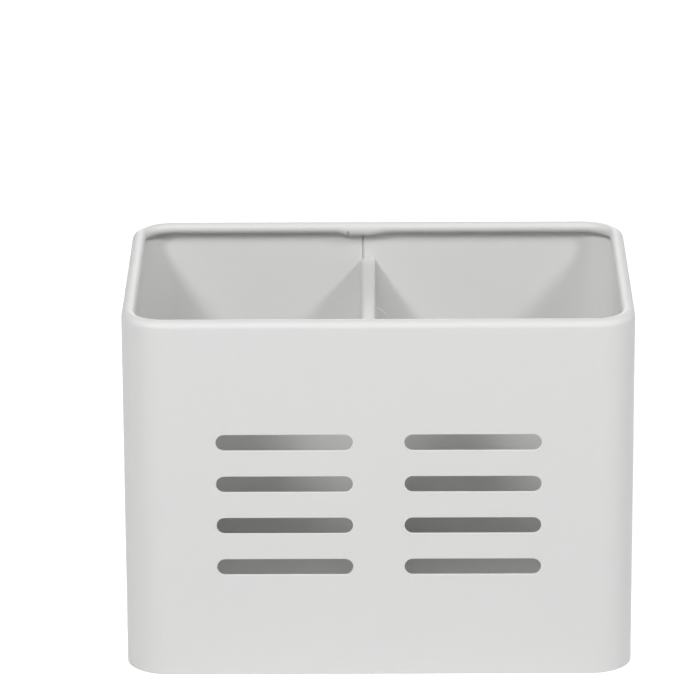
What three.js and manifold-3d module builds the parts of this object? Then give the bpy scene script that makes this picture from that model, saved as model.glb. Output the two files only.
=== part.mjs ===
// Two-bay cutlery holder in powder-coated sheet steel. Millimetres, +Z up, front facing -Y.
// The origin is the middle of the foot, on the surface that the holder stands on.
import * as THREE from "three";
import { mergeVertices } from "three/addons/utils/BufferGeometryUtils.js";
import Module from "manifold-3d";

const wasm = await Module();
wasm.setup();

// Overall size and sheet
const width = 180;
const depth = 120;
const height = 132;
const cornerRadius = 15;
const sheet = 0.8;

// Clearance between a piece and the one it is welded into, and how far a cutter runs past its cut
const fit = 0.3;
const overrun = 2;

// Curled edge of the rim and of the divider: a quarter turn over the shoulder, then a tighter curl
const shoulderRadius = 2.8;
const curlRadius = 2;
const curlAngle = THREE.MathUtils.degToRad(230);

// Lap: the wall's two ends overlap at the back, left of the middle
const lapOffset = 5.3;
const lapWidth = 5.5;
const lapGap = 0.2;
const joggleLength = 1;
const lapSwell = 0.9;
const swellLength = 8;
const lapWeldRadius = 1.5;
const lapWelds = 4;

// Slots in the front, in two columns
const slotLength = 48;
const slotWidth = 5.8;
const slotPitch = 15.5;
const slotTopDrop = 44.6;
const slotColumnSpacing = 66.2;
const slotRows = 4;

// Floor tray, with its skirt turned down and drain holes in each bay
const floorHeight = 6;
const skirtLift = 0.6;
const trayBend = 1.6;
const drainRadius = 3;
const drainPitchX = 15;
const drainPitchY = 18;
const drainColumns = 5;
const drainRows = 3;

// Divider: a sheet with a curled top edge and a flange at each end
const dividerOffset = 1;
const dividerDrop = 13.3;
const flangeWidth = 5.3;
const flangeDrop = 20.4;
const flangeCorner = 4;

// How finely the round stretches are cut
const cornerSteps = 9;
const shoulderSteps = 4;
const curlSteps = 9;
const bendSteps = 4;
const arcSteps = 5;
const holeSides = 12;
const swellSteps = 4;

const powderCoat = { color: 0xdbdbda, roughness: 0.42, metalness: 0 };

// Places worked out from the sizes
const lapStep = sheet + lapGap;
const frontFace = -depth / 2;
const backFace = depth / 2 - lapStep;
const bandMiddle = (frontFace + backFace) / 2;
const frontInside = frontFace + sheet;
const backInside = backFace - sheet;
const lapEnd = -(lapOffset + lapWidth);
const lapGrowth = 1 + lapSwell / (2 * curlRadius);
const tongueTop = height - 2 * curlRadius - lapSwell - fit;
const dividerRight = -dividerOffset;
const dividerLeft = dividerRight - sheet;

// A closed geometry as a solid that can be joined and cut
function solid(geometry) {
  const bare = geometry.index ? geometry.toNonIndexed() : geometry.clone();
  bare.deleteAttribute("normal");
  bare.deleteAttribute("uv");
  const merged = mergeVertices(bare);
  return new wasm.Manifold(new wasm.Mesh({
    numProp: 3,
    vertProperties: new Float32Array(merged.attributes.position.array),
    triVerts: new Uint32Array(merged.index.array),
  }));
}

// A solid back as a named mesh
function piece(name, body, finish) {
  const result = body.getMesh();
  const geometry = new THREE.BufferGeometry();
  geometry.setAttribute("position", new THREE.BufferAttribute(result.vertProperties, 3));
  geometry.setIndex(new THREE.BufferAttribute(result.triVerts, 1));
  const mesh = new THREE.Mesh(geometry, new THREE.MeshStandardMaterial(finish));
  mesh.name = name;
  return mesh;
}

// A closed solid through rings of points that all have as many points. Each end is capped with
// its flat section, and without sections ring 0 follows the last one.
function loft(rings, startSection, endSection) {
  const count = rings[0].length;
  const positions = rings.flat().flatMap((point) => [point.x, point.y, point.z]);
  const faces = [];
  const spans = startSection ? rings.length - 1 : rings.length;
  for (let ring = 0; ring < spans; ring += 1) {
    const here = ring * count;
    const next = ((ring + 1) % rings.length) * count;
    for (let point = 0; point < count; point += 1) {
      const after = (point + 1) % count;
      faces.push(here + point, next + point, here + after);
      faces.push(here + after, next + point, next + after);
    }
  }
  if (startSection) {
    const last = (rings.length - 1) * count;
    for (const [a, b, c] of THREE.ShapeUtils.triangulateShape(startSection, [])) {
      faces.push(a, b, c);
    }
    for (const [a, b, c] of THREE.ShapeUtils.triangulateShape(endSection, [])) {
      faces.push(last + a, last + c, last + b);
    }
  }
  const geometry = new THREE.BufferGeometry();
  geometry.setAttribute("position", new THREE.Float32BufferAttribute(positions, 3));
  geometry.setIndex(faces);
  return geometry;
}

// Points of a curled edge, on the sheet's outer face or inset from it. The first coordinate runs
// out of the face, zero at the sheet's outer face, and the second is height.
function curledEdge(top, inset, growth = 1) {
  const shoulder = shoulderRadius * growth;
  const arc = (radius, start, turn, steps) => Array.from({ length: steps + 1 }, (_, step) => {
    const angle = start + (turn * step) / steps;
    return new THREE.Vector2(
      (radius - inset) * Math.cos(angle) - shoulder,
      top - radius + (radius - inset) * Math.sin(angle),
    );
  });
  return [
    ...arc(shoulder, 0, Math.PI / 2, shoulderSteps),
    ...arc(curlRadius * growth, Math.PI / 2, curlAngle, curlSteps).slice(1),
  ];
}

// Section of a flat sheet with a curled top edge
function curledSection(foot, top) {
  return [
    new THREE.Vector2(0, foot),
    ...curledEdge(top, 0),
    ...curledEdge(top, sheet).reverse(),
    new THREE.Vector2(-sheet, foot),
  ];
}

// Section of the wall, with its curl grown and the sheet below the curl stepped out
function wallSection(growth, step) {
  return [
    new THREE.Vector2(step, 0),
    new THREE.Vector2(step, tongueTop),
    ...curledEdge(height, 0, growth),
    ...curledEdge(height, sheet, growth).reverse(),
    new THREE.Vector2(step - sheet, tongueTop),
    new THREE.Vector2(step - sheet, 0),
  ];
}

// Places round the wall's outer face, from the back by way of the left, front and right sides
function cornerPlaces(radius) {
  const reach = width / 2 - cornerRadius;
  const corners = [
    { x: -reach, y: backFace - cornerRadius, start: Math.PI / 2 },
    { x: -reach, y: frontFace + cornerRadius, start: Math.PI },
    { x: reach, y: frontFace + cornerRadius, start: Math.PI * 1.5 },
    { x: reach, y: backFace - cornerRadius, start: 0 },
  ];
  return corners.flatMap(({ x, y, start }) => Array.from({ length: cornerSteps + 1 }, (_, step) => {
    const angle = start + (Math.PI / 2) * (step / cornerSteps);
    const normal = new THREE.Vector2(Math.cos(angle), Math.sin(angle));
    return { at: new THREE.Vector2(x, y).addScaledVector(normal, radius), normal };
  }));
}

// A section set upright at a place, moved out of the face by shift
function upright(section, place, shift = 0) {
  return section.map((point) => {
    const at = place.at.clone().addScaledVector(place.normal, point.x + shift);
    return new THREE.Vector3(at.x, at.y, point.y);
  });
}

// A bar with a flat outline in X and Z, from one depth to another
function plateAlongY(shape, from, to) {
  const geometry = new THREE.ExtrudeGeometry(shape, {
    depth: to - from, bevelEnabled: false, curveSegments: arcSteps,
  });
  geometry.rotateX(Math.PI / 2);
  geometry.translate(0, to, 0);
  return geometry;
}

function rectangle(left, bottom, right, top) {
  return new THREE.Shape([
    new THREE.Vector2(left, bottom),
    new THREE.Vector2(right, bottom),
    new THREE.Vector2(right, top),
    new THREE.Vector2(left, top),
  ]);
}

// Outline of one slot, with full-round ends
function slotShape(middleX, middleZ) {
  const radius = slotWidth / 2;
  const reach = slotLength / 2 - radius;
  const shape = new THREE.Shape();
  shape.absarc(middleX + reach, middleZ, radius, -Math.PI / 2, Math.PI / 2);
  shape.absarc(middleX - reach, middleZ, radius, Math.PI / 2, Math.PI * 1.5);
  return shape;
}

// The wall as swept: it starts left of the lap and goes round. Its right end steps out over the
// lap, below a rim that swells there.
function sweptWall() {
  const back = (x) => ({ at: new THREE.Vector2(x, backFace), normal: new THREE.Vector2(0, 1) });
  const plain = wallSection(1, 0);
  const lapped = wallSection(lapGrowth, lapStep);
  const stepEnd = -lapOffset + fit;
  const stepStart = stepEnd + joggleLength;
  const rings = [upright(plain, back(lapEnd - fit))];
  rings.push(...cornerPlaces(cornerRadius).map((place) => upright(plain, place)));
  for (let step = 0; step <= swellSteps; step += 1) {
    const share = step / swellSteps;
    const swell = (1 - Math.cos(Math.PI * share)) / 2;
    const section = wallSection(THREE.MathUtils.lerp(1, lapGrowth, swell), 0);
    rings.push(upright(section, back(stepStart + swellLength * (1 - share))));
  }
  rings.push(upright(lapped, back(stepEnd)));
  rings.push(upright(lapped, back(lapEnd)));
  return solid(loft(rings, plain, lapped));
}

// The left end of the wall reaches under the right one, below its rim
function lapTongue() {
  const outline = rectangle(lapEnd - fit - overrun, 0, -lapOffset, tongueTop);
  return solid(plateAlongY(outline, backInside, backFace));
}

// One spot weld between the lapped sheets
function lapWeld(level) {
  const length = lapGap + sheet;
  const geometry = new THREE.CylinderGeometry(lapWeldRadius, lapWeldRadius, length, holeSides);
  geometry.translate((lapEnd - lapOffset) / 2, backFace + lapGap / 2, level);
  return solid(geometry);
}

function wallBand() {
  let body = sweptWall().add(lapTongue());
  const weldPitch = height / (lapWelds + 1);
  for (let weld = 1; weld <= lapWelds; weld += 1) {
    body = body.add(lapWeld(weld * weldPitch));
  }
  for (const side of [-1, 1]) {
    for (let row = 0; row < slotRows; row += 1) {
      const level = height - slotTopDrop - row * slotPitch;
      const outline = slotShape((side * slotColumnSpacing) / 2, level);
      const cutter = plateAlongY(outline, frontFace - overrun, frontInside + overrun);
      body = body.subtract(solid(cutter));
    }
  }
  return piece("wall_band", body, powderCoat);
}

// The tray's skirt and bend, as a closed ring just inside the wall
function traySkirt() {
  const inner = trayBend - sheet;
  const along = (radius) => Array.from({ length: bendSteps + 1 }, (_, step) => {
    const angle = (Math.PI / 2) * (step / bendSteps);
    return new THREE.Vector2(
      radius * Math.cos(angle) - trayBend,
      floorHeight - trayBend + radius * Math.sin(angle),
    );
  });
  const section = [
    new THREE.Vector2(0, skirtLift),
    ...along(trayBend),
    new THREE.Vector2(-trayBend - overrun, floorHeight),
    new THREE.Vector2(-trayBend - overrun, floorHeight - sheet),
    ...along(inner).reverse(),
    new THREE.Vector2(-sheet, skirtLift),
  ];
  const rings = cornerPlaces(cornerRadius).map((place) => upright(section, place, -sheet - fit));
  return solid(loft(rings));
}

// The flat of the floor, which runs into the skirt's ring
function trayFlat() {
  const inset = sheet + fit + trayBend + overrun / 2;
  const places = cornerPlaces(cornerRadius - inset);
  const shape = new THREE.Shape(places.map((place) => place.at));
  const geometry = new THREE.ExtrudeGeometry(shape, { depth: sheet, bevelEnabled: false });
  geometry.translate(0, 0, floorHeight - sheet);
  return solid(geometry);
}

function drainCutter(x, y) {
  const length = sheet + 2 * overrun;
  const geometry = new THREE.CylinderGeometry(drainRadius, drainRadius, length, holeSides);
  geometry.rotateX(Math.PI / 2);
  geometry.translate(x, y, floorHeight - sheet / 2);
  return solid(geometry);
}

function baseTray() {
  let body = traySkirt().add(trayFlat());
  const wallInside = width / 2 - sheet;
  const bays = [(dividerLeft - wallInside) / 2, (dividerRight + wallInside) / 2];
  for (const middle of bays) {
    for (let column = 0; column < drainColumns; column += 1) {
      for (let row = 0; row < drainRows; row += 1) {
        const x = middle + (column - (drainColumns - 1) / 2) * drainPitchX;
        const y = bandMiddle + (row - (drainRows - 1) / 2) * drainPitchY;
        body = body.subtract(drainCutter(x, y));
      }
    }
  }
  return piece("base_tray", body, powderCoat);
}

// One flange of the divider, flat against a wall, with its top outer corner rounded
function dividerFlange(from, to) {
  const right = dividerLeft + flangeWidth;
  const top = height - dividerDrop - flangeDrop;
  const shape = new THREE.Shape();
  shape.moveTo(dividerLeft, floorHeight);
  shape.lineTo(right, floorHeight);
  shape.absarc(right - flangeCorner, top - flangeCorner, flangeCorner, 0, Math.PI / 2);
  shape.lineTo(dividerLeft, top);
  return solid(plateAlongY(shape, from, to));
}

function divider() {
  const section = curledSection(floorHeight, height - dividerDrop);
  const outline = new THREE.Shape(section.map((point) => point.clone().setX(point.x + dividerRight)));
  const web = solid(plateAlongY(outline, frontInside + fit, backInside - fit));
  const body = web
    .add(dividerFlange(frontInside, frontInside + sheet))
    .add(dividerFlange(backInside - sheet, backInside));
  return piece("divider", body, powderCoat);
}

const group = new THREE.Group();
group.add(wallBand(), baseTray(), divider());

export default group;
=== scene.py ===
import math

import bmesh
import bpy
from bpy.props import FloatProperty, FloatVectorProperty, IntProperty, PointerProperty
from mathutils import Euler, Matrix, Vector


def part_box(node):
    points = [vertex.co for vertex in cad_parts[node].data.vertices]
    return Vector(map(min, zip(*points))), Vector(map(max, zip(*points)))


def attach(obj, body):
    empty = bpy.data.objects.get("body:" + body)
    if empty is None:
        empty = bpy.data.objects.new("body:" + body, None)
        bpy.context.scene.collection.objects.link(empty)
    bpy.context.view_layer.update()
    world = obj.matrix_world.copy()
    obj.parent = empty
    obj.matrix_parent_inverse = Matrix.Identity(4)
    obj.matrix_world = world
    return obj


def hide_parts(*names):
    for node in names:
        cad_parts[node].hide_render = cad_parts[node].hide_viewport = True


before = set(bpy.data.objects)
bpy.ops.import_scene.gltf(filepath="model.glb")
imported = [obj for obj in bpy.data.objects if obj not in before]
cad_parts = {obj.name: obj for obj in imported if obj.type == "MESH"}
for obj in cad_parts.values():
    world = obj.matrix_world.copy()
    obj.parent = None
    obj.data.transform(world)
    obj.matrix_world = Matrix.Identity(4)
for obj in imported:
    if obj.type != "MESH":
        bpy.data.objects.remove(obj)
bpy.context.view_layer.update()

bl_info = {
    "name": "Sheet-Steel Cutlery Holder",
    "version": (1, 0, 0),
    "blender": (4, 5, 0),
    "location": "3D View > Sidebar > Holder",
    "description": "Models a two-bay cutlery holder in powder-coated sheet steel",
    "category": "Object",
}

# Places read from the frame, in metres
WALL_LOW, WALL_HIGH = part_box("wall_band")
TRAY_LOW, TRAY_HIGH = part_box("base_tray")
DIVIDER_LOW, DIVIDER_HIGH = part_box("divider")
HALF_WIDTH = WALL_HIGH.x
FRONT = WALL_LOW.y
HEIGHT = WALL_HIGH.z
BODY = "root"


class HolderSizes(bpy.types.PropertyGroup):
    """Sizes of the sheet-metal work, in metres"""

    sheet: FloatProperty(
        name="Sheet", description="Thickness of the coated sheet",
        default=0.0008, unit="LENGTH", precision=5)
    edge_round: FloatProperty(
        name="Edge round", description="Radius of the coat over a cut edge",
        default=0.0003, unit="LENGTH", precision=5)
    corner_radius: FloatProperty(
        name="Corner radius", description="Outer radius of the upright corners",
        default=0.015, unit="LENGTH", precision=4)
    shoulder_radius: FloatProperty(
        name="Shoulder radius", description="Outer radius where a curled edge starts to turn",
        default=0.0028, unit="LENGTH", precision=4)
    curl_radius: FloatProperty(
        name="Curl radius", description="Outer radius of the curl past its shoulder",
        default=0.002, unit="LENGTH", precision=4)
    curl_angle: FloatProperty(
        name="Curl", description="How far the curl turns past its shoulder",
        default=math.radians(230), subtype="ANGLE")
    top_radii: FloatVectorProperty(
        name="Divider's top", description="Outer radii of the bends over the divider's top",
        default=(0.0013, 0.0053, 0.0016), size=3, unit="LENGTH", precision=4)
    top_turns: FloatVectorProperty(
        name="Divider's turns", description="How far each bend over the divider's top turns",
        default=(math.radians(75), math.radians(35), math.radians(200)), size=3)
    top_drop: FloatProperty(
        name="Divider's drop", description="From the frame's divider top down to the coated one",
        default=0.0007, unit="LENGTH", precision=4)
    notch: FloatProperty(
        name="Notch", description="Width of the notch in the rim beside the lap",
        default=0.0007, unit="LENGTH", precision=4)
    lap_offset: FloatProperty(
        name="Lap offset", description="From the middle to the inner sheet's edge",
        default=0.0058, unit="LENGTH", precision=4)
    lap_width: FloatProperty(
        name="Lap width", description="How far the wall's ends overlap",
        default=0.005, unit="LENGTH", precision=4)
    lap_step: FloatProperty(
        name="Lap step", description="How far the outer sheet steps back at the lap",
        default=0.0009, unit="LENGTH", precision=4)
    lap_swell: FloatProperty(
        name="Lap swell", description="How much deeper the rim is over the lap",
        default=0.0011, unit="LENGTH", precision=4)
    joggle: FloatProperty(
        name="Joggle", description="Length of the outer sheet's step",
        default=0.001, unit="LENGTH", precision=4)
    swell_right: FloatProperty(
        name="Swell right", description="Length over which the rim swells right of the lap",
        default=0.01, unit="LENGTH", precision=4)
    swell_left: FloatProperty(
        name="Swell left", description="Length over which the rim swells left of the lap",
        default=0.0047, unit="LENGTH", precision=4)
    slot_length: FloatProperty(
        name="Slot length", description="Length of a slot over its round ends",
        default=0.048, unit="LENGTH", precision=4)
    slot_width: FloatProperty(
        name="Slot width", description="Height of a slot",
        default=0.0058, unit="LENGTH", precision=4)
    slot_pitch: FloatProperty(
        name="Slot pitch", description="From one row of slots to the next",
        default=0.0155, unit="LENGTH", precision=4)
    slot_drop: FloatProperty(
        name="Slot drop", description="From the rim to the first row of slots",
        default=0.0446, unit="LENGTH", precision=4)
    slot_spacing: FloatProperty(
        name="Slot spacing", description="Between the middles of the two columns",
        default=0.0662, unit="LENGTH", precision=4)
    slot_rows: IntProperty(name="Slot rows", description="Rows of slots", default=4, min=1)
    tray_bend: FloatProperty(
        name="Tray bend", description="Outer radius between the floor and its skirt",
        default=0.0016, unit="LENGTH", precision=4)
    drain_radius: FloatProperty(
        name="Drain radius", description="Radius of a drain hole",
        default=0.003, unit="LENGTH", precision=4)
    drain_pitch: FloatVectorProperty(
        name="Drain pitch", description="Between drain holes, across and along",
        default=(0.015, 0.018), size=2, unit="LENGTH", precision=4)
    drain_columns: IntProperty(
        name="Drain columns", description="Drain holes across a bay", default=5, min=1)
    drain_rows: IntProperty(
        name="Drain rows", description="Drain holes along a bay", default=3, min=1)
    flange_top: FloatProperty(
        name="Flange top", description="From the divider's top down to its flange",
        default=0.0204, unit="LENGTH", precision=4)
    flange_width: FloatProperty(
        name="Flange width", description="Width of a flange over the divider's left face",
        default=0.0053, unit="LENGTH", precision=4)
    flange_corner: FloatProperty(
        name="Flange corner", description="Radius of the flange's outer corner",
        default=0.0055, unit="LENGTH", precision=4)


class HolderFinish(bpy.types.PropertyGroup):
    """The powder coat"""

    coat: FloatVectorProperty(
        name="Coat", description="Colour of the powder coat",
        default=(0.800, 0.800, 0.790), size=3, subtype="COLOR", min=0, max=1)
    coat_cool: FloatVectorProperty(
        name="Cool coat", description="Colour of the coat where it lies a little thinner",
        default=(0.780, 0.786, 0.778), size=3, subtype="COLOR", min=0, max=1)
    roughness: FloatProperty(
        name="Roughness", description="Roughness of the satin coat",
        default=0.5, min=0, max=1, subtype="FACTOR")
    roughness_spread: FloatProperty(
        name="Roughness spread", description="How far the roughness strays to each side",
        default=0.05, min=0, max=1, subtype="FACTOR")
    shade_scale: FloatProperty(
        name="Shade scale", description="Changes of shade in a metre", default=14)
    peel_scale: FloatProperty(
        name="Peel scale", description="Waves of orange-peel in a metre", default=620)
    peel_depth: FloatProperty(
        name="Peel depth", description="Height of the orange-peel",
        default=0.00003, unit="LENGTH", precision=6)
    grain_scale: FloatProperty(
        name="Grain scale", description="Grains of powder in a metre", default=3200)
    grain_depth: FloatProperty(
        name="Grain depth", description="Height of the powder's grain",
        default=0.000006, unit="LENGTH", precision=6)


class HolderStudio(bpy.types.PropertyGroup):
    """The studio round the holder"""

    key_left: FloatProperty(
        name="Left softbox", description="Power of the left softbox", default=32.5, unit="POWER")
    key_right: FloatProperty(
        name="Right softbox", description="Power of the right softbox", default=29.0, unit="POWER")
    fill: FloatProperty(
        name="Front softbox", description="Power of the front softbox", default=15.0, unit="POWER")
    side: FloatProperty(
        name="Side softboxes", description="Power of each low softbox at the sides", default=6.0,
        unit="POWER")
    rear: FloatProperty(
        name="Rear softbox", description="Power of the low softbox behind", default=14.0,
        unit="POWER")
    rear_wash: FloatProperty(
        name="Rear wash", description="Power of the softbox behind that leaves no glint",
        default=20.0, unit="POWER")
    softbox_distance: FloatProperty(
        name="Softbox distance", description="From the holder's middle to each softbox",
        default=3.0, unit="LENGTH")
    ambient: FloatProperty(
        name="Ambient", description="Strength of the room's light", default=0.14)
    floor: FloatVectorProperty(
        name="Floor", description="Colour of the studio floor as it is seen",
        default=(0.92, 0.92, 0.92), size=3, subtype="COLOR", min=0, max=1)
    floor_bounce: FloatVectorProperty(
        name="Floor bounce", description="Colour of the floor in the light that it throws back",
        default=(0.60, 0.60, 0.60), size=3, subtype="COLOR", min=0, max=1)
    floor_glow: FloatProperty(
        name="Floor glow", description="Plain white added to the floor as it is seen",
        default=0.6, min=0, max=1)
    camera_place: FloatVectorProperty(
        name="Camera", description="Where the camera stands",
        default=(0.00022, -1.73279, 0.6898), size=3, subtype="TRANSLATION")
    camera_pitch: FloatProperty(
        name="Pitch", description="How far the camera looks down",
        default=math.radians(18.735), subtype="ANGLE")
    camera_heading: FloatProperty(
        name="Heading", description="How far the camera turns to the left",
        default=math.radians(0.368), subtype="ANGLE")
    camera_roll: FloatProperty(
        name="Roll", description="How far the camera leans",
        default=math.radians(-0.3), subtype="ANGLE")
    lens: FloatProperty(
        name="Lens", description="Focal length in millimetres on a 36 mm sensor", default=262.7)


# Fineness of the round stretches
CORNER_STEPS = 24
CURL_STEP = math.radians(11.5)
SLOT_STEPS = 10
ARC_STEPS = 16
HOLE_SIDES = 28
SWELL_STEPS = 10
BEND_STEPS = 6
EDGE_STEPS = 3

# Softboxes: how far round to the right of the front, how high they stand, and their width
LEFT_SOFTBOX = (math.radians(-33), math.radians(41), 0.5)
FRONT_SOFTBOX = (math.radians(-6), math.radians(38), 0.85)
RIGHT_SOFTBOX = (math.radians(52), math.radians(42), 0.45)
REAR_SOFTBOX = (math.pi, math.radians(10), 1.0)
SIDE_SOFTBOXES = (
    (math.radians(-80), math.radians(10), 1.0), (math.radians(80), math.radians(10), 1.0))

# The floor's half width and the camera's clipping, in metres, and the sensor in millimetres
FLOOR_REACH = 4
SENSOR_WIDTH = 36
CLIP_START = 0.05
CLIP_END = 50

# Edges that turn by more than this are cut edges
CUT_EDGE = math.radians(38)

EPSILON = 0.00001
Z_AXIS = Vector((0, 0, 1))
X_AXIS = Vector((1, 0, 0))
QUARTER = math.pi / 2


# Sheet-metal working, as steps on a row of edges

def vertices_of(edges):
    return list(dict.fromkeys(vert for edge in edges for vert in edge.verts))


def edges_in(geometry):
    return [item for item in geometry if isinstance(item, bmesh.types.BMEdge)]


def run_straight(bm, row, travel):
    """Carries a row of edges along a straight and returns the row at its end."""
    made = bmesh.ops.extrude_edge_only(bm, edges=row)["geom"]
    moved = [item for item in made if isinstance(item, bmesh.types.BMVert)]
    bmesh.ops.translate(bm, verts=moved, vec=travel)
    ends = set(moved)
    return [edge for edge in edges_in(made) if ends.issuperset(edge.verts)]


def run_round(bm, row, centre, angle, steps, axis=Z_AXIS):
    """Carries a row of edges round a bend and returns the row at its end."""
    made = bmesh.ops.spin(
        bm, geom=vertices_of(row) + list(row), cent=centre, axis=axis,
        angle=angle, steps=steps, use_duplicate=False)
    return edges_in(made["geom_last"])


def rounded_face(bm, width, height, radius, steps):
    """A flat face in X and Y with round corners, about the origin."""
    made = bmesh.ops.create_grid(bm, x_segments=1, y_segments=1, size=0.5)["verts"]
    bmesh.ops.scale(bm, verts=made, vec=(width, height, 1))
    bevelled = bmesh.ops.bevel(
        bm, geom=made, offset=radius, offset_type="OFFSET", segments=steps,
        profile=0.5, affect="VERTICES", material=-1)
    ring = list(dict.fromkeys(bevelled["verts"]))
    bmesh.ops.remove_doubles(bm, verts=ring, dist=radius / 1000)
    ring = [vert for vert in ring if vert.is_valid]
    return max(ring[0].link_faces, key=lambda face: face.calc_area())


def pierced_ring(bm, face, margin):
    """Opens a face and keeps a narrow ring of its border. Returns the ring's outer edges."""
    ring = bmesh.ops.inset_individual(
        bm, faces=[face], thickness=margin, use_even_offset=True)["faces"]
    border = list(dict.fromkeys(
        edge for part in ring for edge in part.edges if edge.is_boundary))
    bmesh.ops.delete(bm, geom=[face], context="FACES_ONLY")
    return border


def bend_rise(bends):
    """How far a row of bends climbs above the vertex where it starts upright."""
    turned = height = top = 0
    for radius, angle in bends:
        crest = min(max(QUARTER, turned), turned + angle)
        top = max(top, height + radius * (math.sin(crest) - math.sin(turned)))
        height += radius * (math.sin(turned + angle) - math.sin(turned))
        turned += angle
    return top


def curl_edge(bm, start, inward, axis, bends):
    """Curls an edge on from its top vertex, round one bend after another."""
    at = start
    towards = inward.copy()
    for radius, angle in bends:
        made = bmesh.ops.spin(
            bm, geom=[at], cent=at.co + towards * radius, axis=axis, angle=angle,
            steps=max(2, round(angle / CURL_STEP)), use_duplicate=False)["geom_last"]
        at = next(item for item in made if isinstance(item, bmesh.types.BMVert))
        towards.rotate(Matrix.Rotation(angle, 3, axis))


def facing(bm, wanted, probe):
    """Makes all faces agree, with the face nearest to a point facing the wanted way."""
    bmesh.ops.recalc_face_normals(bm, faces=bm.faces)
    nearest = min(bm.faces, key=lambda face: (face.calc_center_median() - probe).length)
    if nearest.normal.dot(wanted) < 0:
        bmesh.ops.reverse_faces(bm, faces=bm.faces)


def sheet_piece(name, bm, sizes, material, node):
    """A finished piece of sheet: the outer face gets its thickness and coated edges."""
    mesh = bpy.data.meshes.new(name)
    bm.to_mesh(mesh)
    bm.free()
    mesh.shade_smooth()
    piece = bpy.data.objects.new(name, mesh)
    bpy.context.scene.collection.objects.link(piece)
    thickness = piece.modifiers.new("Sheet", "SOLIDIFY")
    thickness.thickness = sizes.sheet
    thickness.offset = -1
    thickness.use_even_offset = True
    thickness.use_quality_normals = True
    rounding = piece.modifiers.new("Coated edges", "BEVEL")
    rounding.width = sizes.edge_round
    rounding.segments = EDGE_STEPS
    rounding.limit_method = "ANGLE"
    rounding.angle_limit = CUT_EDGE
    rounding.harden_normals = True
    normals = piece.modifiers.new("Flat faces", "WEIGHTED_NORMAL")
    normals.keep_sharp = True
    mesh.materials.append(material)
    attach(piece, BODY)
    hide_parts(node)


# The finish

def coat_noise(tree, coordinates, scale, detail):
    noise = tree.nodes.new("ShaderNodeTexNoise")
    noise.inputs["Scale"].default_value = scale
    noise.inputs["Detail"].default_value = detail
    tree.links.new(coordinates.outputs["Object"], noise.inputs["Vector"])
    return noise


def coat_bump(tree, height, depth, below=None):
    bump = tree.nodes.new("ShaderNodeBump")
    bump.inputs["Strength"].default_value = 1
    bump.inputs["Distance"].default_value = depth
    tree.links.new(height, bump.inputs["Height"])
    if below:
        tree.links.new(below.outputs["Normal"], bump.inputs["Normal"])
    return bump


def powder_coat(finish):
    """Satin white powder coat: orange-peel, grain, and a faint change of shade."""
    found = bpy.data.materials.get("powder_coat")
    if found:
        return found
    material = bpy.data.materials.new("powder_coat")
    material.use_nodes = True
    tree = material.node_tree
    shader = tree.nodes["Principled BSDF"]
    coordinates = tree.nodes.new("ShaderNodeTexCoord")

    cloud = coat_noise(tree, coordinates, finish.shade_scale, detail=2)
    shade = tree.nodes.new("ShaderNodeMix")
    shade.data_type = "RGBA"
    shade.inputs["A"].default_value = (*finish.coat, 1)
    shade.inputs["B"].default_value = (*finish.coat_cool, 1)
    tree.links.new(cloud.outputs["Fac"], shade.inputs["Factor"])
    tree.links.new(shade.outputs["Result"], shader.inputs["Base Color"])

    peel = coat_noise(tree, coordinates, finish.peel_scale, detail=2)
    grain = coat_noise(tree, coordinates, finish.grain_scale, detail=1)
    wavy = coat_bump(tree, peel.outputs["Fac"], finish.peel_depth)
    grainy = coat_bump(tree, grain.outputs["Fac"], finish.grain_depth, wavy)
    tree.links.new(grainy.outputs["Normal"], shader.inputs["Normal"])

    gloss = tree.nodes.new("ShaderNodeMapRange")
    gloss.inputs["To Min"].default_value = finish.roughness - finish.roughness_spread
    gloss.inputs["To Max"].default_value = finish.roughness + finish.roughness_spread
    tree.links.new(peel.outputs["Fac"], gloss.inputs["Value"])
    tree.links.new(gloss.outputs["Result"], shader.inputs["Roughness"])
    return material


# The wall

def wall_section(bm, sizes, x, back, knee_level):
    """The wall's section as a row of edges: foot, knee under the rim, shoulder and curl."""
    bends = ((sizes.shoulder_radius, QUARTER), (sizes.curl_radius, sizes.curl_angle))
    foot, knee, shoulder = [
        bm.verts.new((x, back, z)) for z in (0, knee_level, HEIGHT - bend_rise(bends))]
    bm.edges.new((foot, knee))
    bm.edges.new((knee, shoulder))
    curl_edge(bm, shoulder, Vector((0, -1, 0)), X_AXIS, bends)
    return list(bm.edges)


def part_of(row, keep):
    """The edges of a row whose ends both pass a test."""
    return [edge for edge in row if all(keep(vert.co) for vert in edge.verts)]


def grow_rim(bm, row, growth, knee_level):
    """Stretches the rim's height at one place, down from its top."""
    rim = [vert for vert in vertices_of(row) if vert.co.z > knee_level + EPSILON]
    top = Matrix.Translation((0, 0, -HEIGHT))
    bmesh.ops.scale(bm, verts=rim, vec=(1, 1, growth), space=top)


def swell(bm, row, travel, start, end, knee_level):
    """Carries a row along while its rim's stretch goes smoothly from start to end."""
    at = start
    for step in range(1, SWELL_STEPS + 1):
        row = run_straight(bm, row, travel / SWELL_STEPS)
        share = (1 - math.cos(math.pi * step / SWELL_STEPS)) / 2
        growth = start + (end - start) * share
        grow_rim(bm, row, growth / at, knee_level)
        at = growth
    return row


def run_round_walls(bm, row, sizes, back):
    """Carries the wall's section round the left side, the front and the right side."""
    radius = sizes.corner_radius
    reach = HALF_WIDTH - radius
    first = row[0].verts[0].co.x
    side = Vector((0, FRONT - back + 2 * radius, 0))
    stretches = (
        (Vector((-reach - first, 0, 0)), (-reach, back - radius, 0)),
        (side, (-reach, FRONT + radius, 0)),
        (Vector((2 * reach, 0, 0)), (reach, FRONT + radius, 0)),
        (-side, (reach, back - radius, 0)))
    for travel, centre in stretches:
        row = run_straight(bm, row, travel)
        row = run_round(bm, row, centre, QUARTER, CORNER_STEPS)
    return row


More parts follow.
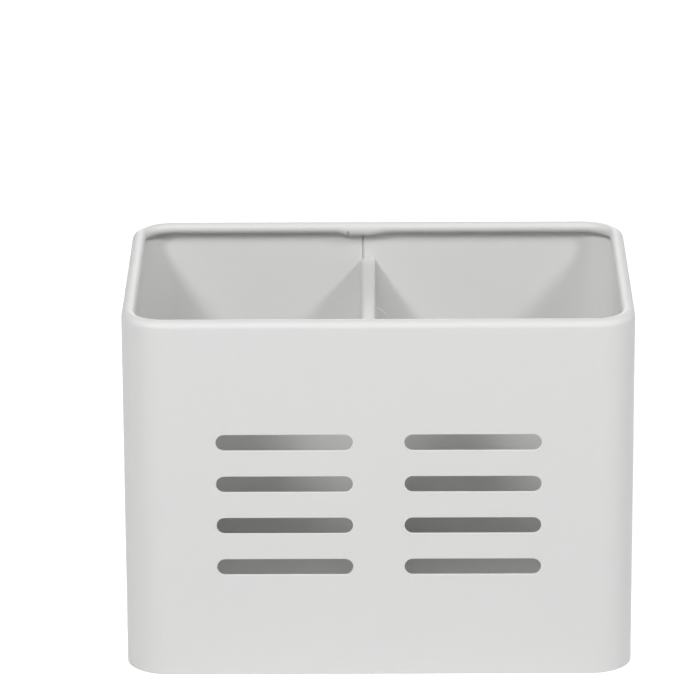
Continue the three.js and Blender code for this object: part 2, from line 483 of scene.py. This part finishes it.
def wall_front(bm, sizes, knee_level):
    """Fills the front below the knee again, with its slots."""
    flat = [
        face for face in bm.faces
        if all(abs(vert.co.y - FRONT) < EPSILON and vert.co.z < knee_level + EPSILON
               for vert in face.verts)]
    bmesh.ops.delete(bm, geom=flat, context="FACES_ONLY")
    loops = part_of(
        [edge for edge in bm.edges if not edge.is_manifold],
        lambda co: abs(co.y - FRONT) < EPSILON and co.z < knee_level + EPSILON)
    margin = sizes.sheet
    upright = Matrix.Rotation(QUARTER, 4, "X")
    for side in (-1, 1):
        for row in range(sizes.slot_rows):
            face = rounded_face(
                bm, sizes.slot_length + 2 * margin, sizes.slot_width + 2 * margin,
                sizes.slot_width / 2 + margin, SLOT_STEPS)
            place = Vector((
                side * sizes.slot_spacing / 2, FRONT,
                HEIGHT - sizes.slot_drop - row * sizes.slot_pitch))
            bmesh.ops.transform(
                bm, verts=list(face.verts), matrix=Matrix.Translation(place) @ upright)
            loops += pierced_ring(bm, face, margin)
    bmesh.ops.triangle_fill(bm, use_beauty=True, edges=loops, normal=(0, -1, 0))


def wall_surface(sizes):
    """The outer face of the wall, lapped at the back, with its rim running on all round."""
    back = WALL_HIGH.y - sizes.lap_step
    lap_end = -(sizes.lap_offset + sizes.lap_width)
    left_end = lap_end - sizes.swell_left
    growth = 1 + sizes.lap_swell / (2 * sizes.curl_radius)
    knee_level = HEIGHT - 2 * sizes.curl_radius - sizes.lap_swell - sizes.edge_round
    bm = bmesh.new()
    start = wall_section(bm, sizes, left_end, back, knee_level)
    row = run_round_walls(bm, start, sizes, back)

    # Right of the lap the rim swells, and the sheet below it steps out behind the left end
    step_end = -sizes.lap_offset + sizes.edge_round
    step_start = step_end + sizes.joggle
    corner_end = HALF_WIDTH - sizes.corner_radius
    row = run_straight(bm, row, Vector((step_start + sizes.swell_right - corner_end, 0, 0)))
    row = swell(bm, row, Vector((-sizes.swell_right, 0, 0)), 1, growth, knee_level)
    row = run_straight(bm, row, Vector((-sizes.joggle, 0, 0)))
    lower = [vert for vert in vertices_of(row) if vert.co.z < knee_level + EPSILON]
    bmesh.ops.translate(bm, verts=lower, vec=(0, sizes.lap_step, 0))
    row = run_straight(bm, row, Vector((lap_end - step_end, 0, 0)))

    # Left of the lap only the rim runs on, back to where the section started
    rim = part_of(row, lambda co: co.z > knee_level + EPSILON)
    swell(bm, rim, Vector((-sizes.swell_left, 0, 0)), growth, 1, knee_level)
    notch_rim(bm, sizes, lap_end, back)

    # The left end of the wall reaches under the right one
    tongue = part_of(start, lambda co: co.z < knee_level + EPSILON)
    for _ in range(SWELL_STEPS):
        tongue = run_straight(bm, tongue, Vector((sizes.swell_left / SWELL_STEPS, 0, 0)))
    run_straight(bm, tongue, Vector((sizes.lap_width, 0, 0)))

    bmesh.ops.remove_doubles(bm, verts=bm.verts, dist=EPSILON)
    close_shoulder(bm, back, left_end, lap_end)
    wall_front(bm, sizes, knee_level)
    facing(bm, Vector((0, -1, 0)), Vector((0, FRONT, 0)))
    return bm


def notch_rim(bm, sizes, lap_end, back):
    """Opens the underside of the curl over a short stretch, where the outer sheet's curl ends."""
    under = HEIGHT - 2 * sizes.curl_radius

    def faces_down(face):
        middle = face.calc_center_median()
        beside = lap_end - sizes.notch < middle.x < lap_end
        return beside and middle.z < under + sizes.sheet and middle.y < back - sizes.sheet

    bmesh.ops.delete(bm, geom=[face for face in bm.faces if faces_down(face)], context="FACES")


def close_shoulder(bm, back, left_end, lap_end):
    """Joins the left end's top edge to the rim over it, as far as the lap."""
    def lies_between(co):
        return left_end - EPSILON < co.x < lap_end + EPSILON and abs(co.y - back) < EPSILON

    level = [
        edge for edge in part_of([edge for edge in bm.edges if edge.is_boundary], lies_between)
        if abs(edge.verts[0].co.x - edge.verts[1].co.x) > EPSILON]
    bmesh.ops.bridge_loops(bm, edges=[edge for edge in level if edge.verts[0].co.z > EPSILON])


class HOLDER_OT_wall_band(bpy.types.Operator):
    """Make the wall: one strip with a curled rim, front slots and a lap at the back"""

    bl_idname = "holder.wall_band"
    bl_label = "Wall Band"

    def execute(self, context):
        sizes = context.scene.holder_sizes
        material = powder_coat(context.scene.holder_finish)
        sheet_piece("wall_band_coated", wall_surface(sizes), sizes, material, "wall_band")
        return {"FINISHED"}


# The floor tray

def divider_right(sizes):
    """The place of the divider's right face across the holder."""
    return DIVIDER_HIGH.x - sizes.flange_width + sizes.sheet


def tray_surface(sizes):
    """The top of the floor with its drain holes, and its skirt turned down."""
    size = TRAY_HIGH - TRAY_LOW
    middle = (TRAY_HIGH + TRAY_LOW) / 2
    inset = HALF_WIDTH - TRAY_HIGH.x
    bm = bmesh.new()
    outline = rounded_face(bm, size.x, size.y, sizes.corner_radius - inset, CORNER_STEPS)
    bmesh.ops.translate(bm, verts=list(outline.verts), vec=(middle.x, middle.y, TRAY_HIGH.z))
    border = list(outline.edges)
    bmesh.ops.delete(bm, geom=[outline], context="FACES_ONLY")
    loops = []
    margin = sizes.sheet
    inside = HALF_WIDTH - sizes.sheet
    right = divider_right(sizes)
    bays = ((right - sizes.sheet - inside) / 2, (right + inside) / 2)
    for bay in bays:
        for column in range(sizes.drain_columns):
            for row in range(sizes.drain_rows):
                place = Vector((
                    bay + (column - (sizes.drain_columns - 1) / 2) * sizes.drain_pitch[0],
                    middle.y + (row - (sizes.drain_rows - 1) / 2) * sizes.drain_pitch[1],
                    TRAY_HIGH.z))
                made = bmesh.ops.create_circle(
                    bm, cap_ends=True, segments=HOLE_SIDES,
                    radius=sizes.drain_radius + margin, matrix=Matrix.Translation(place))
                loops += pierced_ring(bm, made["verts"][0].link_faces[0], margin)
    bmesh.ops.triangle_fill(bm, use_beauty=True, edges=border + loops, normal=(0, 0, 1))
    border = [edge for edge in border if edge.is_valid]
    skirt = TRAY_HIGH.z - TRAY_LOW.z
    run_straight(bm, border, (0, 0, -skirt))
    bmesh.ops.bevel(
        bm, geom=border, offset=sizes.tray_bend, offset_type="OFFSET", segments=BEND_STEPS,
        profile=0.5, affect="EDGES", material=-1)
    facing(bm, Vector((0, 0, 1)), Vector((middle.x, middle.y, TRAY_HIGH.z)))
    return bm


class HOLDER_OT_base_tray(bpy.types.Operator):
    """Make the floor tray, with its skirt and drain holes"""

    bl_idname = "holder.base_tray"
    bl_label = "Base Tray"

    def execute(self, context):
        sizes = context.scene.holder_sizes
        material = powder_coat(context.scene.holder_finish)
        sheet_piece("base_tray_coated", tray_surface(sizes), sizes, material, "base_tray")
        return {"FINISHED"}


# The divider

def round_corner(bm, faces, middle, radius):
    """Trims a flange's upper corner to an arc that starts where the flange leaves the web."""
    for step in range(ARC_STEPS + 1):
        angle = QUARTER * step / ARC_STEPS
        outward = Vector((math.sin(angle), 0, math.cos(angle)))
        parts = list(dict.fromkeys(part for face in faces for part in (*face.verts, *face.edges)))
        trimmed = bmesh.ops.bisect_plane(
            bm, geom=faces + parts, dist=EPSILON / 100,
            plane_co=middle + outward * radius, plane_no=outward, clear_outer=True)["geom"]
        faces = [item for item in trimmed if isinstance(item, bmesh.types.BMFace)]


def divider_surface(sizes):
    """The divider's right face, with its curled top and a flange folded right at each end."""
    right = divider_right(sizes)
    fold = sizes.sheet
    low = DIVIDER_LOW.y + sizes.sheet + fold
    high = DIVIDER_HIGH.y - sizes.sheet - fold
    flange_top = DIVIDER_HIGH.z - sizes.flange_top
    bends = list(zip(sizes.top_radii, sizes.top_turns))
    top = DIVIDER_HIGH.z - sizes.top_drop
    levels = (DIVIDER_LOW.z, flange_top, top - bend_rise(bends))
    across = DIVIDER_HIGH.x - sizes.flange_corner
    climb = math.sqrt(sizes.flange_corner ** 2 - (right - across) ** 2) - EPSILON
    corner_middle = Vector((across, 0, flange_top - climb))
    bm = bmesh.new()
    foot, corner, shoulder = [bm.verts.new((right, low, z)) for z in levels]
    bm.edges.new((foot, corner))
    bm.edges.new((corner, shoulder))
    curl_edge(bm, shoulder, Vector((-1, 0, 0)), Vector((0, -1, 0)), bends)
    front = list(bm.edges)
    back = run_straight(bm, front, Vector((0, high - low, 0)))
    for row, y, out in ((front, low, -1), (back, high, 1)):
        upper = part_of(row, lambda co: co.z > flange_top - EPSILON)
        run_straight(bm, upper, Vector((0, out * (fold + sizes.sheet / 2), 0)))
        lower = part_of(row, lambda co: co.z < flange_top + EPSILON)
        before = set(bm.faces)
        flange = run_round(bm, lower, (right + fold, y, 0), -out * QUARTER, BEND_STEPS)
        run_straight(bm, flange, Vector((DIVIDER_HIGH.x - right - fold, 0, 0)))
        round_corner(bm, [face for face in bm.faces if face not in before],
                     corner_middle, sizes.flange_corner)
    facing(bm, Vector((1, 0, 0)), Vector((right, 0, flange_top)))
    return bm


class HOLDER_OT_divider(bpy.types.Operator):
    """Make the divider, with its rolled top edge and end flanges"""

    bl_idname = "holder.divider"
    bl_label = "Divider"

    def execute(self, context):
        sizes = context.scene.holder_sizes
        material = powder_coat(context.scene.holder_finish)
        sheet_piece("divider_coated", divider_surface(sizes), sizes, material, "divider")
        return {"FINISHED"}


# The studio

def shown_white(tree, base, white):
    """Mixes two shaders so that the camera, glossy and see-through rays get the white one."""
    path = tree.nodes.new("ShaderNodeLightPath")
    seen = path.outputs["Is Camera Ray"]
    for ray in ("Is Glossy Ray", "Is Transmission Ray"):
        either = tree.nodes.new("ShaderNodeMath")
        either.operation = "MAXIMUM"
        tree.links.new(seen, either.inputs[0])
        tree.links.new(path.outputs[ray], either.inputs[1])
        seen = either.outputs[0]
    mix = tree.nodes.new("ShaderNodeMixShader")
    tree.links.new(seen, mix.inputs[0])
    tree.links.new(base.outputs[0], mix.inputs[1])
    tree.links.new(white.outputs[0], mix.inputs[2])
    return mix


def studio_world(studio):
    world = bpy.data.worlds.new("studio_world")
    world.use_nodes = True
    tree = world.node_tree
    room = tree.nodes["Background"]
    room.inputs["Color"].default_value = (1, 1, 1, 1)
    room.inputs["Strength"].default_value = studio.ambient
    white = tree.nodes.new("ShaderNodeBackground")
    white.inputs["Color"].default_value = (1, 1, 1, 1)
    white.inputs["Strength"].default_value = 1
    mix = shown_white(tree, room, white)
    tree.links.new(mix.outputs[0], tree.nodes["World Output"].inputs["Surface"])
    bpy.context.scene.world = world


def floor_material(studio):
    """White to look at, with the holder's shadow, and darker in the light it throws back."""
    material = bpy.data.materials.new("studio_floor")
    material.use_nodes = True
    tree = material.node_tree
    tree.nodes.remove(tree.nodes["Principled BSDF"])
    bounce = tree.nodes.new("ShaderNodeBsdfDiffuse")
    bounce.inputs["Color"].default_value = (*studio.floor_bounce, 1)
    paint = tree.nodes.new("ShaderNodeBsdfDiffuse")
    paint.inputs["Color"].default_value = (*studio.floor, 1)
    glow = tree.nodes.new("ShaderNodeEmission")
    glow.inputs["Strength"].default_value = studio.floor_glow
    seen = tree.nodes.new("ShaderNodeAddShader")
    tree.links.new(paint.outputs[0], seen.inputs[0])
    tree.links.new(glow.outputs[0], seen.inputs[1])
    mix = shown_white(tree, bounce, seen)
    tree.links.new(mix.outputs[0], tree.nodes["Material Output"].inputs["Surface"])
    return material


def studio_floor(studio):
    bm = bmesh.new()
    bmesh.ops.create_grid(bm, x_segments=8, y_segments=8, size=FLOOR_REACH)
    mesh = bpy.data.meshes.new("studio_floor")
    bm.to_mesh(mesh)
    bm.free()
    mesh.materials.append(floor_material(studio))
    floor = bpy.data.objects.new("studio_floor", mesh)
    bpy.context.scene.collection.objects.link(floor)


def softbox(name, power, distance, stand, glints=True):
    """A square softbox that looks at the holder's middle. Without glints it shows in no gloss."""
    heading, height, width = stand
    light = bpy.data.lights.new(name, "AREA")
    light.shape = "SQUARE"
    light.size = width
    light.energy = power
    lamp = bpy.data.objects.new(name, light)
    outward = Euler((-height, 0, heading)).to_matrix() @ Vector((0, -distance, 0))
    lamp.location = Vector((0, 0, HEIGHT / 2)) + outward
    lamp.rotation_mode = "QUATERNION"
    lamp.rotation_quaternion = (-outward).to_track_quat("-Z", "Y")
    lamp.visible_glossy = glints
    bpy.context.scene.collection.objects.link(lamp)


def studio_camera(studio):
    camera = bpy.data.cameras.new("photo_camera")
    camera.sensor_width = SENSOR_WIDTH
    camera.lens = studio.lens
    camera.clip_start = CLIP_START
    camera.clip_end = CLIP_END
    holder = bpy.data.objects.new("photo_camera", camera)
    holder.location = studio.camera_place
    turn = Euler((QUARTER - studio.camera_pitch, 0, studio.camera_heading))
    turn.rotate_axis("Z", studio.camera_roll)
    holder.rotation_euler = turn
    bpy.context.scene.collection.objects.link(holder)
    bpy.context.scene.camera = holder


class HOLDER_OT_studio(bpy.types.Operator):
    """Set up the floor, the softboxes, the room light and the camera"""

    bl_idname = "holder.studio"
    bl_label = "Studio"

    def execute(self, context):
        studio = context.scene.holder_studio
        studio_world(studio)
        studio_floor(studio)
        far = studio.softbox_distance
        softbox("left_softbox", studio.key_left, far, LEFT_SOFTBOX)
        softbox("front_softbox", studio.fill, far, FRONT_SOFTBOX)
        softbox("right_softbox", studio.key_right, far, RIGHT_SOFTBOX)
        softbox("rear_softbox", studio.rear, far, REAR_SOFTBOX)
        softbox("rear_wash", studio.rear_wash, far, REAR_SOFTBOX, glints=False)
        for stand in SIDE_SOFTBOXES:
            softbox("side_softbox", studio.side, far, stand, glints=False)
        studio_camera(studio)
        context.scene.view_settings.view_transform = "Standard"
        return {"FINISHED"}


class HOLDER_PT_panel(bpy.types.Panel):
    """The holder's pieces and studio in the sidebar"""

    bl_idname = "HOLDER_PT_panel"
    bl_label = "Cutlery Holder"
    bl_space_type = "VIEW_3D"
    bl_region_type = "UI"
    bl_category = "Holder"

    def draw(self, context):
        for operator in OPERATORS:
            self.layout.operator(operator.bl_idname)
        for group in (context.scene.holder_sizes, context.scene.holder_finish,
                      context.scene.holder_studio):
            box = self.layout.box()
            for name in group.bl_rna.properties.keys():
                if name not in ("rna_type", "name"):
                    box.prop(group, name)


GROUPS = (HolderSizes, HolderFinish, HolderStudio)
OPERATORS = (HOLDER_OT_wall_band, HOLDER_OT_base_tray, HOLDER_OT_divider, HOLDER_OT_studio)
PANELS = (HOLDER_PT_panel,)


def register():
    for item in GROUPS + OPERATORS + PANELS:
        bpy.utils.register_class(item)
    bpy.types.Scene.holder_sizes = PointerProperty(type=HolderSizes)
    bpy.types.Scene.holder_finish = PointerProperty(type=HolderFinish)
    bpy.types.Scene.holder_studio = PointerProperty(type=HolderStudio)


def unregister():
    del bpy.types.Scene.holder_studio
    del bpy.types.Scene.holder_finish
    del bpy.types.Scene.holder_sizes
    for item in reversed(GROUPS + OPERATORS + PANELS):
        bpy.utils.unregister_class(item)


def main():
    register()
    bpy.ops.holder.wall_band()
    bpy.ops.holder.base_tray()
    bpy.ops.holder.divider()
    bpy.ops.holder.studio()


if __name__ == "__main__":
    main()
